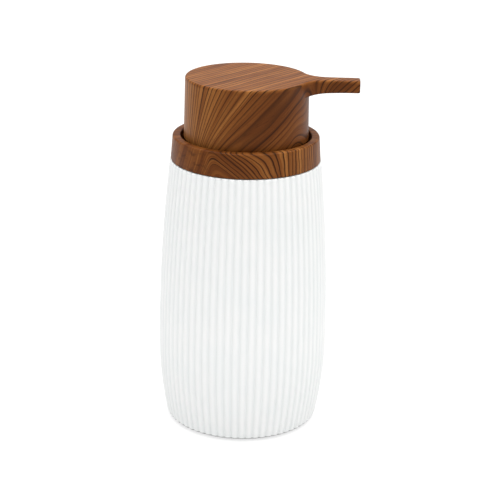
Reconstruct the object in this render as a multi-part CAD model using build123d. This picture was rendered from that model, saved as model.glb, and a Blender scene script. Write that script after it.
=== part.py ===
from build123d import *
import math
import os

# Soap pump dispenser: a fluted, bellied bottle with a wide low pump head that sinks into a
# ring collar.  Millimetres, +Z up, origin at the centre of the face that rests on the
# counter.  The spout points along +X.  Every piece is its own solid, in its own file.

# ---------------------------------------------------------------- driving dimensions
# Base pad
pad_inset = 2.8  # pad's edge in from the bottle's base
pad_thickness = 1.6
pad_recess_depth = 0.8  # how far the pad sits up inside the base
pad_fit = 0.2  # radial room round the pad

# Bottle
bottle_height = 129.7  # from the bottle's own underside to its rim
belly_height = 40.0  # the widest level, above the counter
belly_bulge = 5.05  # belly's radius beyond the rim's
base_tuck = 4.15  # base's radius inside the belly's
rim_ledge = 0.35  # rim's radius beyond the collar's
bottle_wall = 4.2
bottle_floor = 5.5
base_edge_round = 2.0
inner_corner_round = 4.0
rim_lip = 4.3  # wall left outside the shoulder recess
shoulder_recess_depth = 3.0
shoulder_thickness = 5.0
mouth_radius = 17.6

# Flutes: V-shaped valleys between narrow ribs, one pattern right round the bottle
rib_count = 68
rib_turn = 0.9  # degrees the rib pattern is turned from the spout's line
rib_depth = 0.8
flute_mouth = 2.6  # width of one valley at the bottle's skin
flute_tool_rise = 0.5  # how far the tool stands out of the skin, as a share of the valley's depth
flute_run_out = 1.5  # how far each tool passes the ends of the bottle

# Neck insert
insert_fit = 0.05  # radial glue gap in the mouth
insert_flange_radius = 20.5
insert_flange_thickness = 2.0
insert_wall = 1.4
insert_plug_depth = 9.0
neck_radius = 15.0
neck_wall = 1.4
neck_height = 13.0  # above the insert's flange
thread_pitch = 4.2
thread_turns = 1.25
thread_rise = 1.0  # ridge height above its wall
thread_root_width = 2.2
thread_crest_width = 0.9
thread_top_gap = 2.2  # plain neck left above the thread
thread_embed = 0.25  # how deep a ridge is rooted in its wall
thread_seam_turn = 35.0  # degrees from the +X side to where each ridge starts

# Neck gasket
gasket_thickness = 1.2
gasket_overhang = 1.6  # beyond the neck's outside

# Closure cap
closure_wall = 1.4
closure_plate = 1.6
thread_crest_gap = 0.2  # between the two threads' crests
closure_clearance = 0.1  # over the pump's flange
closure_skirt_gap = 0.5  # above the insert's flange
closure_hole_fit = 0.3
closure_edge_round = 0.7

# Collar ring
collar_gap = 0.3  # shadow line between bottle and collar
collar_height = 11.5
collar_head_gap = 1.5  # running gap round the head's skirt
collar_wall = 4.55  # at its foot
collar_taper = 0.85  # the top's radius inside the foot's
collar_floor = 2.0
collar_floor_above_wall_foot = 1.2  # the floor's top above the outer wall's foot
collar_spigot_wall = 1.6
collar_spigot_reach = 2.2  # below the outer wall's foot, into the bottle's recess
collar_spigot_fit = 0.3
collar_sleeve_wall = 1.3
collar_sleeve_height = 12.0
collar_press_gap = 0.05
collar_outer_round = 0.8
collar_inner_round = 0.5

# Pump housing
chamber_radius = 6.6
housing_wall = 1.4
housing_flange_overhang = 1.4  # beyond the neck's outside
housing_flange_thickness = 1.5
housing_top_rise = 2.0  # tube standing above the flange
guide_seat_radius = 7.15
guide_seat_depth = 7.0
vent_radius = 0.5

# Stem guide
guide_fit = 0.05
guide_flange_radius = 10.8
guide_flange_thickness = 1.5
guide_seat_gap = 0.05
guide_end_gap = 0.2

# Stem
stem_radius = 4.0
stem_bore_radius = 1.9
stem_running_gap = 0.06
stem_stop_radius = 4.7
stem_stop_height = 1.5
stem_stop_gap = 0.1
stem_foot = 0.6  # stem left below its stop ring
stem_socket_length = 5.4
stem_top_gap = 0.3  # below the outlet tube

# Plunger rod
plunger_fit = 0.05
plunger_spigot_length = 8.0
plunger_neck_radius = 2.6
plunger_neck_length = 5.4
plunger_bore_radius = 1.1
plunger_port_radius = 0.7
plunger_port_rise = 0.3  # neck left below the ports
plunger_seat_radius = 4.0
plunger_seat_thickness = 1.6
plunger_collar_radius = 5.2
plunger_collar_thickness = 2.0
plunger_tail_radius = 2.2
plunger_tail_length = 8.0

# Piston seal
piston_fit = 0.05
piston_hub_radius = 4.2
piston_slip = 1.0  # free travel of the piston along the plunger's neck
piston_web_thickness = 1.6
piston_lip_thickness = 0.8
piston_lip_reach = 2.0  # each lip, beyond the hub's ends

# Travel of the pump
stroke = 8.5

# Return spring
spring_wire = 0.8
spring_mean_radius = 4.25
spring_length = 16.8
spring_coils = 6.5
spring_end_gap = 0.03

# Spring seat, inlet ball and dip tube
seat_ring_thickness = 2.4
seat_ring_fit = 0.1
seat_ring_bore = 2.9
seat_lug_count = 3
seat_lug_inner_radius = 1.9
seat_lug_width = 1.6
ball_radius = 2.5
ball_chamber_radius = 3.3
ball_chamber_height = 5.2
ball_seat_radius = 1.8
ball_seat_plate = 1.8
ball_gap = 0.02
tube_radius = 3.0
tube_bore_radius = 2.1
tube_fit = 0.05
tube_socket_wall = 1.55
tube_socket_length = 10.5
tube_floor_gap = 3.5
tube_end_slant = 40.0  # degrees

# Pump head
head_height = 29.0
head_top_radius = 28.8
head_flare = 0.5  # skirt's radius beyond the top's
head_overlap = 1.3  # skirt hidden inside the collar at rest
head_wall = 2.0
head_roof = 1.6
head_step_height = 5.3  # from the head's top down to the step that carries the insert
head_step_width = 1.6
head_edge_round = 0.9

# Spout
spout_length = 23.6  # from the head's side to the tip
spout_half_width = 3.6
spout_root_depth = 7.2
spout_tip_depth = 5.8
spout_bow = 0.62  # share of the underside's rise reached a third of the way out
spout_web_radius = 12.0  # concave blend from the head's side into the spout, seen from above
spout_web_bite = 0.1  # how far the web's arc dips into the head's side, so that they cross
spout_tip_round = 1.2
outlet_below_top = 3.2  # the outlet's axis below the head's top
outlet_tube_radius = 1.5
outlet_bore_radius = 1.0
outlet_fit = 0.05
outlet_recess = 0.5  # tube end back from the spout's tip

# Head insert
insert_plate_thickness = 1.4
insert_plate_fit = 0.15
insert_hub_radius = 6.0
insert_hub_top_gap = 0.1
insert_rib_count = 6
insert_rib_thickness = 1.2
insert_rib_gap = 6.8  # ribs' ends in from the head's side
socket_fit = 0.05

# ---------------------------------------------------------------- radii, worked out
# The head sets the collar's bore, the collar sets the bottle's rim, and the rim sets the rest.
head_skirt_radius = head_top_radius + head_flare
collar_bore_radius = head_skirt_radius + collar_head_gap
collar_base_radius = collar_bore_radius + collar_wall
collar_top_radius = collar_base_radius - collar_taper
rim_radius = collar_base_radius + rim_ledge
belly_radius = rim_radius + belly_bulge
base_radius = belly_radius - base_tuck
pad_radius = base_radius - pad_inset
spout_reach = head_top_radius + spout_length
insert_rib_reach = head_top_radius - insert_rib_gap

# ---------------------------------------------------------------- levels, worked out
bottle_bottom = pad_thickness - pad_recess_depth
bottle_top = bottle_bottom + bottle_height
shoulder_level = bottle_top - shoulder_recess_depth
ceiling_level = shoulder_level - shoulder_thickness
floor_level = bottle_bottom + bottle_floor
recess_radius = rim_radius - rim_lip

insert_flange_top = shoulder_level + insert_flange_thickness
neck_top = insert_flange_top + neck_height
neck_bore = neck_radius - neck_wall
thread_start = neck_top - thread_top_gap - thread_pitch * thread_turns
thread_crest = neck_radius + thread_rise

gasket_top = neck_top + gasket_thickness
housing_flange_top = gasket_top + housing_flange_thickness
housing_flange_radius = neck_radius + housing_flange_overhang
housing_radius = chamber_radius + housing_wall
housing_top = housing_flange_top + housing_top_rise
guide_seat_level = housing_top - guide_seat_depth

closure_bore = thread_crest + thread_crest_gap + thread_rise
closure_radius = closure_bore + closure_wall
closure_foot = insert_flange_top + closure_skirt_gap
closure_plate_foot = housing_flange_top + closure_clearance
closure_top = closure_plate_foot + closure_plate

collar_foot = bottle_top + collar_gap
collar_top = collar_foot + collar_height
collar_floor_top = collar_foot + collar_floor_above_wall_foot
collar_floor_foot = collar_floor_top - collar_floor
collar_sleeve_bore = closure_radius + collar_press_gap
collar_spigot_radius = recess_radius - collar_spigot_fit

guide_flange_foot = housing_top + guide_seat_gap
guide_top = guide_flange_foot + guide_flange_thickness
guide_foot = guide_seat_level + guide_end_gap

stem_stop_top = guide_foot - stem_stop_gap
stem_stop_foot = stem_stop_top - stem_stop_height
stem_bottom = stem_stop_foot - stem_foot

plunger_neck_foot = stem_bottom - plunger_neck_length
plunger_seat_foot = plunger_neck_foot - plunger_seat_thickness
plunger_collar_foot = plunger_seat_foot - plunger_collar_thickness
plunger_tail_foot = plunger_collar_foot - plunger_tail_length

piston_foot = plunger_neck_foot + piston_fit
piston_top = stem_bottom - piston_slip
piston_radius = chamber_radius - piston_fit

spring_top = plunger_collar_foot - spring_end_gap
spring_foot = spring_top - spring_length
seat_ring_top = spring_foot - spring_end_gap
seat_ring_foot = seat_ring_top - seat_ring_thickness
chamber_foot = seat_ring_foot
ball_seat_level = chamber_foot - ball_chamber_height
ball_level = ball_seat_level + math.sqrt(ball_radius**2 - ball_seat_radius**2) + ball_gap
tube_top = ball_seat_level - ball_seat_plate
tube_socket_radius = tube_radius + tube_fit + tube_socket_wall
tube_socket_foot = tube_top - tube_socket_length
tube_foot = floor_level + tube_floor_gap

head_foot = collar_top - head_overlap
head_top = head_foot + head_height
head_step_level = head_top - head_step_height
outlet_level = head_top - outlet_below_top
insert_plate_top = head_step_level
insert_plate_foot = insert_plate_top - insert_plate_thickness
insert_hub_top = head_top - head_roof - insert_hub_top_gap
stem_top = outlet_level - outlet_tube_radius - stem_top_gap
insert_hub_foot = stem_top - stem_socket_length


# ---------------------------------------------------------------- helpers
def turned(*outline):
    """Solid of revolution about Z from a closed (radius, height) outline."""
    return revolve(make_face(Plane.XZ * Polyline(*outline, close=True)), Axis.Z)


def disc(radius, foot, top, x=0.0, y=0.0):
    """Upright cylinder between two levels."""
    return Pos(x, y, foot) * Cylinder(radius, top - foot, align=(Align.CENTER, Align.CENTER, Align.MIN))


def ring(outer, inner, foot, top):
    """Flat or tall ring between two levels."""
    return turned((inner, foot), (outer, foot), (outer, top), (inner, top))


def round_edges(solid, radius, level, at_radius):
    """Rounds the circular edges that lie at one level and one radius."""
    chosen = [
        e
        for e in solid.edges().filter_by(GeomType.CIRCLE)
        if abs(e.center().Z - level) < 0.01 and abs(e.radius - at_radius) < 0.01
    ]
    return fillet(chosen, radius)


def side_arc(top_or_base_radius, level):
    """Radius of the arc that leaves the belly upright and meets one end of the side."""
    rise = level - belly_height
    inset = belly_radius - top_or_base_radius
    return (rise**2 + inset**2) / (2 * inset)


upper_arc = side_arc(rim_radius, bottle_top)
lower_arc = side_arc(base_radius, bottle_bottom)


def side_radius(level, inset=0.0):
    """Radius of the bottle's side, or of a skin that lies inset inside it."""
    arc = upper_arc if level > belly_height else lower_arc
    return belly_radius - arc + math.sqrt((arc - inset) ** 2 - (level - belly_height) ** 2)


def side_solid(foot, top, inset):
    """Solid of revolution inside the bottle's side: two arcs that meet upright at the belly."""

    def bow(low, high):
        middle = (low + high) / 2
        ends = [(side_radius(level, inset), level) for level in (low, middle, high)]
        return ThreePointArc(*ends)

    outline = Polyline(
        (side_radius(top, inset), top), (0, top), (0, foot), (side_radius(foot, inset), foot)
    )
    # The belly point is taken on both arcs, so that they share it exactly.
    side = bow(foot, belly_height) + bow(belly_height, top)
    return revolve(make_face(Plane.XZ * (outline + side)), Axis.Z)


def ridge(wall_radius, outward, start, pitch, turns):
    """Helical thread ridge rooted in a round wall, pointing out of it or into it."""
    sign = 1 if outward else -1
    path = Helix(pitch=pitch, height=pitch * turns, radius=wall_radius)
    outline = Polyline(
        (-sign * thread_embed, -thread_root_width / 2),
        (sign * thread_rise, -thread_crest_width / 2),
        (sign * thread_rise, thread_crest_width / 2),
        (-sign * thread_embed, thread_root_width / 2),
        close=True,
    )
    section = Plane(origin=(wall_radius, 0, 0), x_dir=(1, 0, 0), z_dir=(0, -1, 0)) * make_face(outline)
    return Pos(0, 0, start) * Rot(0, 0, thread_seam_turn) * sweep(section, path=path, is_frenet=True)


# ---------------------------------------------------------------- bottle
def flute_tool():
    """Tool for one valley: a V turned about the centres of the side's two arcs."""
    half = flute_mouth / 2
    # The V runs on past the bottle's skin at the same slope.
    above = rib_depth * flute_tool_rise
    wide = half * (1 + flute_tool_rise)
    face = make_face(Polyline((-rib_depth, 0), (above, wide), (above, -wide), close=True))
    section = Pos(belly_radius, 0, belly_height) * face

    def turned_about(arc, level, direction):
        run_out = math.degrees(flute_run_out / arc)
        reach = math.degrees(math.asin(abs(level - belly_height) / arc)) + run_out
        pivot = Axis((belly_radius - arc, 0, belly_height), (0, direction, 0))
        return revolve(section, pivot, reach)

    upper = turned_about(upper_arc, bottle_top, -1)
    lower = turned_about(lower_arc, bottle_bottom, 1)
    return upper + lower


def bottle_body():
    """Hollow bottle with fluted side, sunk shoulder round a plain mouth, and a pad recess."""
    body = side_solid(bottle_bottom, bottle_top, 0.0)
    body = round_edges(body, base_edge_round, bottle_bottom, base_radius)
    body -= list(PolarLocations(0, rib_count, start_angle=rib_turn) * flute_tool())
    cavity = side_solid(floor_level, ceiling_level, bottle_wall)
    cavity = round_edges(cavity, inner_corner_round, floor_level, side_radius(floor_level, bottle_wall))
    body -= round_edges(cavity, inner_corner_round, ceiling_level, side_radius(ceiling_level, bottle_wall))
    body -= disc(mouth_radius, ceiling_level - 1, bottle_top + 1)
    body -= disc(recess_radius, shoulder_level, bottle_top + 1)
    body -= disc(pad_radius + pad_fit, bottle_bottom - 1, bottle_bottom + pad_recess_depth)
    return body


def base_pad():
    """Soft disc under the base."""
    pad = disc(pad_radius, 0, pad_thickness)
    return round_edges(pad, 0.3, 0, pad_radius)


def neck_insert():
    """Plastic insert glued in the mouth: flange, plug and threaded neck."""
    plug = mouth_radius - insert_fit
    body = turned(
        (neck_bore, shoulder_level),
        (plug - insert_wall, shoulder_level),
        (plug - insert_wall, shoulder_level - insert_plug_depth),
        (plug, shoulder_level - insert_plug_depth),
        (plug, shoulder_level),
        (insert_flange_radius, shoulder_level),
        (insert_flange_radius, insert_flange_top),
        (neck_radius, insert_flange_top),
        (neck_radius, neck_top),
        (neck_bore, neck_top),
    )
    return body + ridge(neck_radius, True, thread_start, thread_pitch, thread_turns)


# ---------------------------------------------------------------- collar and closure
def collar_ring():
    """Wide decorative ring: outer wall, sunk floor, spigot into the bottle, inner sleeve."""
    body = turned(
        (collar_sleeve_bore, collar_floor_foot),
        (collar_spigot_radius - collar_spigot_wall, collar_floor_foot),
        (collar_spigot_radius - collar_spigot_wall, collar_foot - collar_spigot_reach),
        (collar_spigot_radius, collar_foot - collar_spigot_reach),
        (collar_spigot_radius, collar_foot),
        (collar_base_radius, collar_foot),
        (collar_top_radius, collar_top),
        (collar_bore_radius, collar_top),
        (collar_bore_radius, collar_floor_top),
        (collar_sleeve_bore + collar_sleeve_wall, collar_floor_top),
        (collar_sleeve_bore + collar_sleeve_wall, collar_floor_top + collar_sleeve_height),
        (collar_sleeve_bore, collar_floor_top + collar_sleeve_height),
    )
    body = round_edges(body, collar_outer_round, collar_top, collar_top_radius)
    return round_edges(body, collar_inner_round, collar_top, collar_bore_radius)


def closure_cap():
    """Threaded cap inside the collar: it clamps the pump's flange on the neck."""
    body = turned(
        (closure_bore, closure_foot),
        (closure_radius, closure_foot),
        (closure_radius, closure_top),
        (housing_radius + closure_hole_fit, closure_top),
        (housing_radius + closure_hole_fit, closure_plate_foot),
        (closure_bore, closure_plate_foot),
    )
    body = round_edges(body, closure_edge_round, closure_top, closure_radius)
    # Half a pitch round from the neck's thread, so the two ridges lie between each other.
    start = thread_start - thread_pitch / 2
    return body + ridge(closure_bore, False, start, thread_pitch, thread_turns)


def neck_gasket():
    """Flat washer between the neck and the pump's flange."""
    return ring(neck_radius + gasket_overhang, neck_bore, neck_top, gasket_top)


# ---------------------------------------------------------------- pump
def pump_housing():
    """Cylinder with flange, ball chamber, ball seat and dip tube socket."""
    body = turned(
        (ball_seat_radius, ball_seat_level),
        (ball_chamber_radius, ball_seat_level),
        (ball_chamber_radius, chamber_foot),
        (chamber_radius, chamber_foot),
        (chamber_radius, guide_seat_level),
        (guide_seat_radius, guide_seat_level),
        (guide_seat_radius, housing_top),
        (housing_radius, housing_top),
        (housing_radius, housing_flange_top),
        (housing_flange_radius, housing_flange_top),
        (housing_flange_radius, gasket_top),
        (housing_radius, gasket_top),
        (housing_radius, chamber_foot),
        (tube_socket_radius, ball_seat_level - ball_seat_plate),
        (tube_socket_radius, tube_socket_foot),
        (tube_radius + tube_fit, tube_socket_foot),
        (tube_radius + tube_fit, tube_top),
        (ball_seat_radius, tube_top),
    )
    vent_level = (piston_foot + piston_top) / 2
    vent = Pos(chamber_radius + housing_wall / 2, 0, vent_level) * Rot(0, 90, 0)
    return body - vent * Cylinder(vent_radius, 2 * housing_wall)


def stem_guide():
    """Flanged bush that holds the closure captive and guides the stem."""
    bore = stem_radius + stem_running_gap
    return turned(
        (bore, guide_foot),
        (guide_seat_radius - guide_fit, guide_foot),
        (guide_seat_radius - guide_fit, guide_flange_foot),
        (guide_flange_radius, guide_flange_foot),
        (guide_flange_radius, guide_top - 0.5),
        (guide_flange_radius - 0.5, guide_top),
        (bore, guide_top),
    )


def spring_seat():
    """Ring under the spring, with lugs that keep the ball down."""
    body = ring(chamber_radius - seat_ring_fit, seat_ring_bore, seat_ring_foot, seat_ring_top)
    length = seat_ring_bore + 0.5 - seat_lug_inner_radius
    lug = Pos(seat_lug_inner_radius, 0, seat_ring_foot) * Box(
        length, seat_lug_width, seat_ring_thickness, align=(Align.MIN, Align.CENTER, Align.MIN)
    )
    return body + list(PolarLocations(0, seat_lug_count) * lug)


def inlet_ball():
    """Check ball on its seat."""
    return Pos(0, 0, ball_level) * Sphere(ball_radius)


def dip_tube():
    """Suction tube with a slanted lower end."""
    body = ring(tube_radius, tube_bore_radius, tube_foot, tube_top - tube_fit)
    wedge_height = 2 * tube_radius * math.tan(math.radians(tube_end_slant))
    wedge = Plane.XZ * Polyline(
        (-tube_radius - 1, tube_foot - 1),
        (tube_radius, tube_foot - 1),
        (tube_radius, tube_foot),
        (-tube_radius - 1, tube_foot + wedge_height),
        close=True,
    )
    return body - extrude(make_face(wedge), tube_radius + 1, both=True)


def return_spring():
    """Compression spring between the seat ring and the plunger's collar."""
    rise = spring_length - spring_wire
    path = Helix(pitch=rise / spring_coils, height=rise, radius=spring_mean_radius)
    section = Plane(origin=path @ 0, z_dir=path % 0) * Circle(spring_wire / 2)
    return Pos(0, 0, spring_foot + spring_wire / 2) * sweep(section, path=path, is_frenet=True)


def plunger_rod():
    """Valve rod: spigot in the stem, ported neck, valve seat, spring collar and tail."""
    body = turned(
        (0, plunger_tail_foot),
        (plunger_tail_radius - 0.6, plunger_tail_foot),
        (plunger_tail_radius, plunger_tail_foot + 1.5),
        (plunger_tail_radius, plunger_collar_foot),
        (plunger_collar_radius, plunger_collar_foot),
        (plunger_collar_radius, plunger_seat_foot),
        (plunger_seat_radius, plunger_seat_foot),
        (plunger_seat_radius, plunger_neck_foot),
        (plunger_neck_radius, plunger_neck_foot),
        (plunger_neck_radius, stem_bottom),
        (stem_bore_radius - plunger_fit, stem_bottom),
        (stem_bore_radius - plunger_fit, stem_bottom + plunger_spigot_length),
        (0, stem_bottom + plunger_spigot_length),
    )
    port_level = plunger_neck_foot + plunger_port_radius + plunger_port_rise
    body -= disc(plunger_bore_radius, port_level, stem_bottom + plunger_spigot_length + 1)
    port = Cylinder(plunger_port_radius, 2 * plunger_neck_radius + 1)
    return body - Pos(0, 0, port_level) * Rot(0, 90, 0) * port


def piston_seal():
    """Soft piston with an upper and a lower lip on one hub."""
    lip = piston_radius - piston_lip_thickness
    middle = (piston_foot + piston_top) / 2
    low = middle - piston_web_thickness / 2
    high = middle + piston_web_thickness / 2
    bore = plunger_neck_radius + piston_fit
    return turned(
        (bore, piston_foot),
        (piston_hub_radius, piston_foot),
        (piston_hub_radius, low),
        (lip, low),
        (lip, piston_foot - piston_lip_reach),
        (piston_radius, piston_foot - piston_lip_reach),
        (piston_radius, piston_top + piston_lip_reach),
        (lip, piston_top + piston_lip_reach),
        (lip, high),
        (piston_hub_radius, high),
        (piston_hub_radius, piston_top),
        (bore, piston_top),
    )


def stem():
    """Hollow stem with the stop ring that meets the guide at the top of the stroke."""
    return turned(
        (stem_bore_radius, stem_bottom),
        (stem_radius, stem_bottom),
        (stem_radius, stem_stop_foot),
        (stem_stop_radius, stem_stop_foot),
        (stem_stop_radius, stem_stop_top),
        (stem_radius, stem_stop_top),
        (stem_radius, stem_top),
        (stem_bore_radius, stem_top),
    )


# ---------------------------------------------------------------- head
def head_radius(level):
    """Radius of the head's slightly tapered side."""
    share = (level - head_foot) / head_height
    return head_skirt_radius + (head_top_radius - head_skirt_radius) * share


def spout_plan():
    """Spout seen from above: a straight bar that flares into the head with a concave web each side."""
    # Centre of the web's arc: it ends level with the bar's side and dips into the head's side.
    across = spout_half_width + spout_web_radius
    reach = head_top_radius + spout_web_radius - spout_web_bite
    along = math.sqrt(reach**2 - across**2)

    def web_point(angle, side):
        turn = math.radians(angle)
        x = along + spout_web_radius * math.cos(turn)
        return (x, side * (across + spout_web_radius * math.sin(turn)))

    # The arc runs from the bar to the point nearest the head's axis, which lies inside the head.
    inner = math.degrees(math.atan2(-across, -along))

    def web(side):
        return ThreePointArc(*(web_point(angle, side) for angle in (inner, (inner - 90) / 2, -90)))

    bar = Polyline(
        (along, -spout_half_width),
        (spout_reach, -spout_half_width),
        (spout_reach, spout_half_width),
        (along, spout_half_width),
    )
    foot = web_point(inner, 1)
    inside = Polyline((foot[0], -foot[1]), (foot[0] - 4.0, 0), foot)
    return make_face(web(1) + bar + web(-1) + inside)


def spout_side():
    """Spout seen from the side: level top, and an underside that rises to the tip in a bow."""
    start = head_top_radius - head_wall
    low = head_top - spout_root_depth
    tip = head_top - spout_tip_depth
    third = start + (spout_reach - start) / 3
    under = ThreePointArc((start, low), (third, low + (tip - low) * spout_bow), (spout_reach, tip))
    rest = Polyline((spout_reach, tip), (spout_reach, head_top), (start, head_top), (start, low))
    return make_face(Plane.XZ * (under + rest))


def spout_blank():
    """Plan and side outlines crossed into one solid."""
    plan = Pos(0, 0, head_top - 2 * spout_root_depth) * extrude(spout_plan(), 2 * spout_root_depth)
    side = extrude(spout_side(), 2 * spout_web_radius + 10, both=True)
    return plan & side


def outlet_bar(radius, start, end):
    """Cylinder along the outlet's axis, between two distances from the pump's axis."""
    bar = Cylinder(radius, end - start, align=(Align.CENTER, Align.CENTER, Align.MIN))
    return Pos(start, 0, outlet_level) * Rot(0, 90, 0) * bar


def head_shell():
    """Cap-shaped head with its spout, hollow below and bored for the outlet tube."""
    side = ((head_skirt_radius, head_foot), (head_top_radius, head_top))
    body = turned((0, head_foot), *side, (0, head_top)) + spout_blank()
    upright = body.edges().filter_by(Axis.Z).filter_by(lambda e: e.center().X > spout_reach - 0.01)
    body = fillet(upright, spout_tip_round)
    body = fillet(body.faces().sort_by(Axis.Z)[-1].edges(), head_edge_round)
    hollow = turned(
        (0, head_foot - 1),
        (head_skirt_radius - head_wall, head_foot - 1),
        (head_radius(head_step_level) - head_wall, head_step_level),
        (head_radius(head_step_level) - head_wall - head_step_width, head_step_level),
        (head_top_radius - head_wall - head_step_width, head_top - head_roof),
        (0, head_top - head_roof),
    )
    body -= hollow
    return body - outlet_bar(outlet_tube_radius + outlet_fit, 0, spout_reach + 1)


def head_insert():
    """Inner part of the head: plate against the shell's step, hub with the stem's socket."""
    plate_radius = head_radius(head_step_level) - head_wall - insert_plate_fit
    body = disc(plate_radius, insert_plate_foot, insert_plate_top)
    body += disc(insert_hub_radius, insert_hub_foot, insert_hub_top)
    rib_height = head_top - head_roof - insert_hub_top_gap - insert_plate_top
    rib = Pos(0, 0, insert_plate_top) * Box(
        insert_rib_reach, insert_rib_thickness, rib_height, align=(Align.MIN, Align.CENTER, Align.MIN)
    )
    # The ribs start half a step round, so that the outlet tube runs between two of them.
    step = 360 / insert_rib_count
    body += list(PolarLocations(0, insert_rib_count, start_angle=step / 2) * rib)
    body -= disc(stem_radius + socket_fit, insert_hub_foot - 1, stem_top)
    body -= disc(stem_bore_radius, stem_top - 1, outlet_level)
    return body - outlet_bar(outlet_tube_radius + outlet_fit, 0, plate_radius + 1)


def outlet_tube():
    """Tube from the hub to the tip of the spout."""
    ends = (stem_bore_radius, spout_reach - outlet_recess)
    return outlet_bar(outlet_tube_radius, *ends) - outlet_bar(outlet_bore_radius, *ends)


# ---------------------------------------------------------------- files
pieces = [
    bottle_body,
    base_pad,
    neck_insert,
    collar_ring,
    closure_cap,
    neck_gasket,
    pump_housing,
    stem_guide,
    spring_seat,
    inlet_ball,
    dip_tube,
    return_spring,
    plunger_rod,
    piston_seal,
    stem,
    head_shell,
    head_insert,
    outlet_tube,
]

os.makedirs("parts", exist_ok=True)
for piece in pieces:
    export_step(piece(), f"parts/{piece.__name__}.step")

print("rim and base arcs", round(upper_arc, 1), round(lower_arc, 1))
print("head top", round(head_top, 2), "collar top", round(collar_top, 2), "neck top", round(neck_top, 2))
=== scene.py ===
# %% [markdown]
# # A soap pump dispenser
#
# A white, finely fluted bottle carries a wide wood-look collar, and a low wide pump head sinks
# into that collar when it is pressed.  The imported model already holds every piece at its real
# size and place, so this script only makes the visible skins finer and gives each piece its
# finish.
#
# The first cell loads the frame and moves each piece's place into its own points.

# %% Load the frame
import math

import bmesh
import bpy
import numpy as np
from mathutils import Matrix, Vector


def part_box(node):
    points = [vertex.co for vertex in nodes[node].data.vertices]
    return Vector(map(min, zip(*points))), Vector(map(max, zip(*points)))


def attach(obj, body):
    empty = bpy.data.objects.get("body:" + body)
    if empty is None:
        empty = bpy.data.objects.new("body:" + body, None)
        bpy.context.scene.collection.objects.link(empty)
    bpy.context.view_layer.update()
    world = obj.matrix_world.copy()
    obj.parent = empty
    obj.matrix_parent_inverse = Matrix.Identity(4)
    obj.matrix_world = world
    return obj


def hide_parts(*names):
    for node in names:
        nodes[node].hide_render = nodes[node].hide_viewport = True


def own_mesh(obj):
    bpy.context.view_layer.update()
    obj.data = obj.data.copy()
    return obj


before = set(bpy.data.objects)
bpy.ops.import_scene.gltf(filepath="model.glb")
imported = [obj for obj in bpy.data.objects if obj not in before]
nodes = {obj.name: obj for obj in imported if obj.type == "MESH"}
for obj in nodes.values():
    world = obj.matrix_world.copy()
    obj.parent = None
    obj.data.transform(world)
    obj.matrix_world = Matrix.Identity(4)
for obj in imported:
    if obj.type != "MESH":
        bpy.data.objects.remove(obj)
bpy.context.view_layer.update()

# %% [markdown]
# ## Lengths
#
# Everything in Blender is in metres.  The maker's sizes are easier to read in millimetres, so
# one constant turns them round.  Heights and radii that the frame knows are read from it, which
# keeps every skin on its own piece if a size changes.

# %% Lengths read from the frame
MM = 0.001


def box_mm(node):
    """Lowest and highest corners of one node, in millimetres."""
    low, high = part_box(node)
    return np.array(low) / MM, np.array(high) / MM


bottle_low, bottle_high = box_mm("bottle_body")
collar_low, collar_high = box_mm("collar_ring")
head_low, head_high = box_mm("head_shell")
pad_low, pad_high = box_mm("base_pad")
spring_low, spring_high = box_mm("return_spring")
print("bottle", bottle_low.round(2), bottle_high.round(2))
print("head", head_low.round(2), head_high.round(2))

# %% [markdown]
# ## Camera
#
# A long lens a little above the dispenser keeps its sides nearly parallel.  The camera is set
# by its distance, its height angle and a small roll, and a spout that points along +X comes
# slightly towards the viewer because the camera stands a little to that side.

# %% Camera
sight_point = np.array([0.0, 0.0, 85.0])  # mm, half way up the dispenser
sight_distance = 720.0  # mm
sight_height = 19.9  # degrees above the horizontal
sight_side = 2.7  # degrees round towards the spout
sight_roll = 1.08  # degrees
lens_per_frame = 2.985  # focal length over the frame's width
aim_right = 2.9  # mm, the frame's centre lies this far beside the sight point
aim_down = 0.65  # mm, and this far below it
sensor_width = 36.0


def unit(vector):
    """Vector of length one."""
    return np.asarray(vector, float) / np.linalg.norm(vector)


def camera_axes():
    """Right, up and back directions of the camera: a look towards the axis, then a roll."""
    height, side = math.radians(sight_height), math.radians(sight_side)
    level = np.array([math.sin(side), -math.cos(side), 0.0])
    back = unit(level * math.cos(height) + np.array([0.0, 0.0, math.sin(height)]))
    right = unit(np.cross([0.0, 0.0, 1.0], back))
    up = np.cross(back, right)
    roll = math.radians(sight_roll)
    rolled_right = math.cos(roll) * right + math.sin(roll) * up
    rolled_up = math.cos(roll) * up - math.sin(roll) * right
    return rolled_right, rolled_up, back


def make_camera():
    """Camera object whose frame is centred a little beside the sight point."""
    right, up, back = camera_axes()
    place = sight_point + back * sight_distance
    aim = sight_point + right * aim_right - up * aim_down
    back = unit(place - aim)
    right = unit(np.cross(up, back))
    up = np.cross(back, right)
    data = bpy.data.cameras.new("camera")
    data.sensor_width = sensor_width
    data.lens = lens_per_frame * sensor_width
    data.clip_start = 0.01
    camera = bpy.data.objects.new("camera", data)
    bpy.context.scene.collection.objects.link(camera)
    matrix = np.eye(4)
    matrix[:3, 0], matrix[:3, 1], matrix[:3, 2] = right, up, back
    matrix[:3, 3] = place * MM
    camera.matrix_world = Matrix(matrix.tolist())
    return camera


bpy.context.scene.camera = make_camera()
print("camera lens", round(lens_per_frame * sensor_width, 1), "mm")

# %% [markdown]
# ## Turning an outline into a skin
#
# The bottle and the collar are turned pieces.  Blender could spin a curve, but a grid worked
# out with numpy lets the radius depend on the angle too, which the flutes need.  An outline is
# a short list of corners, each with the radius of its own rounding, and a grid of quads joins
# one row of points to the next.

# %% Outlines with rounded corners
ARC_STEPS = 6


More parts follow.
